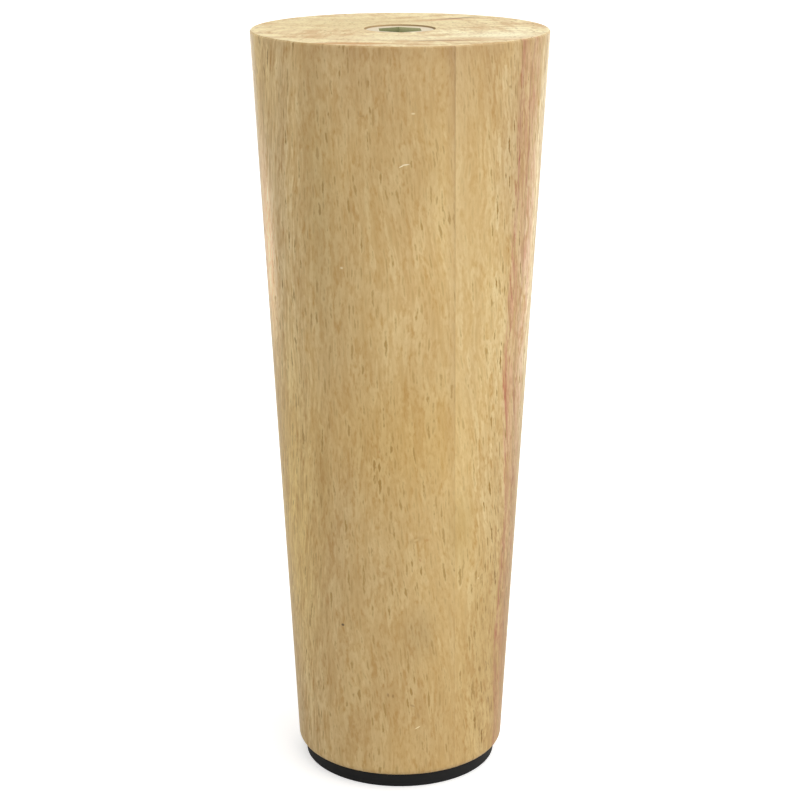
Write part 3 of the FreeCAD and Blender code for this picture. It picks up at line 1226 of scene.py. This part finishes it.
def rim_lamp(name, power, azimuth, height):
    """A square lamp behind the leg, below its top, which the camera doesn't see."""
    side, distance = 0.12, 0.5
    lamp = bpy.data.lights.new(name, "AREA")
    lamp.energy = power
    lamp.size = side
    made = put_in_scene(name, lamp)
    around = math.radians(azimuth)
    towards = Vector((math.sin(around), -math.cos(around), 0.0))
    made.location = towards * distance + Vector((0.0, 0.0, height))
    made.rotation_euler = towards.to_track_quat("Z", "Y").to_euler()
    made.visible_camera = False


class LEG_OT_studio(bpy.types.Operator):
    """Set up the camera, the white floor and the soft lamps"""

    bl_idname = "furniture_leg.studio"
    bl_label = "Set up the studio"
    bl_options = {"REGISTER", "UNDO"}

    def execute(self, context):
        studio = settings().studio
        scene = context.scene
        scene.view_settings.view_transform = "Standard"

        lens = bpy.data.cameras.new("Camera")
        lens.lens = studio.focal_length
        lens.clip_end = 20.0
        camera = put_in_scene("Camera", lens)
        camera.location = (0.0, -studio.camera_distance, studio.camera_height)
        camera.rotation_euler = (math.pi / 2 - studio.camera_pitch, 0.0, 0.0)
        scene.camera = camera

        # The floor lies a hair under the pad, so that the two faces don't coincide.
        reach, under = 4.0, -0.01 * MM
        mesh = bpy.data.meshes.new("floor")
        corners = [
            (x, y, under) for x, y in ((-reach, -reach), (reach, -reach), (reach, reach), (-reach, reach))
        ]
        mesh.from_pydata(corners, [], [(0, 1, 2, 3)])
        floor = put_in_scene("floor", mesh)
        mesh.materials.append(white_paper())

        soft_lamp("key_right", studio.key, azimuth=60.0, elevation=35.0, width=80.0)
        soft_lamp("overhead_back", studio.overhead, azimuth=170.0, elevation=65.0, width=60.0)
        soft_lamp("front", studio.front, azimuth=-10.0, elevation=15.0, width=90.0)
        rim_lamp("rim_left", studio.rim_left, azimuth=-160.0, height=0.11)
        rim_lamp("rim_right", studio.rim_right, azimuth=160.0, height=0.095)

        world = bpy.data.worlds.new("White room")
        scene.world = world
        world.use_nodes = True
        tree = world.node_tree
        tree.nodes.clear()
        path = add(tree, "ShaderNodeLightPath")
        seen = add(
            tree,
            "ShaderNodeMath",
            {0: path.outputs["Is Camera Ray"], 1: path.outputs["Is Glossy Ray"]},
            operation="MAXIMUM",
        )
        seen_or_through = add(
            tree,
            "ShaderNodeMath",
            {0: seen, 1: path.outputs["Is Transmission Ray"]},
            operation="MAXIMUM",
        )
        strength = add(
            tree, "ShaderNodeMapRange", {"Value": seen_or_through, "To Min": studio.fill, "To Max": 1.0}
        )
        room = add(tree, "ShaderNodeBackground", {"Color": (1.0, 1.0, 1.0, 1.0), "Strength": strength})
        add(tree, "ShaderNodeOutputWorld", {"Surface": room})
        return {"FINISHED"}


class LegSettings(bpy.types.PropertyGroup):
    """All that the panel shows."""

    wood: PointerProperty(type=WoodSettings)
    insert: PointerProperty(type=InsertSettings)
    pad: PointerProperty(type=PadSettings)
    studio: PointerProperty(type=StudioSettings)


class VIEW3D_PT_furniture_leg(bpy.types.Panel):
    """Sizes, colours and steps of the furniture leg"""

    bl_label = "Furniture leg"
    bl_space_type = "VIEW_3D"
    bl_region_type = "UI"
    bl_category = "Furniture leg"

    def draw(self, context):
        groups = settings()
        for group, operator in (
            (groups.wood, LEG_OT_turned_leg),
            (groups.insert, LEG_OT_threaded_insert),
            (groups.pad, LEG_OT_foot_pad),
            (groups.studio, LEG_OT_studio),
        ):
            box = self.layout.box()
            for name in group.__annotations__:
                box.prop(group, name)
            box.operator(operator.bl_idname)


CLASSES = (
    WoodSettings,
    InsertSettings,
    PadSettings,
    StudioSettings,
    LegSettings,
    LEG_OT_turned_leg,
    LEG_OT_threaded_insert,
    LEG_OT_foot_pad,
    LEG_OT_studio,
    VIEW3D_PT_furniture_leg,
)


def register():
    """Add the settings, the steps and the panel."""
    for item in CLASSES:
        bpy.utils.register_class(item)
    bpy.types.Scene.furniture_leg = PointerProperty(type=LegSettings)


def unregister():
    """Take the settings, the steps and the panel away."""
    del bpy.types.Scene.furniture_leg
    for item in reversed(CLASSES):
        bpy.utils.unregister_class(item)


def main():
    """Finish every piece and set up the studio."""
    register()
    bpy.ops.furniture_leg.turned_leg()
    bpy.ops.furniture_leg.threaded_insert()
    bpy.ops.furniture_leg.foot_pad()
    bpy.ops.furniture_leg.studio()


if __name__ == "__main__":
    main()
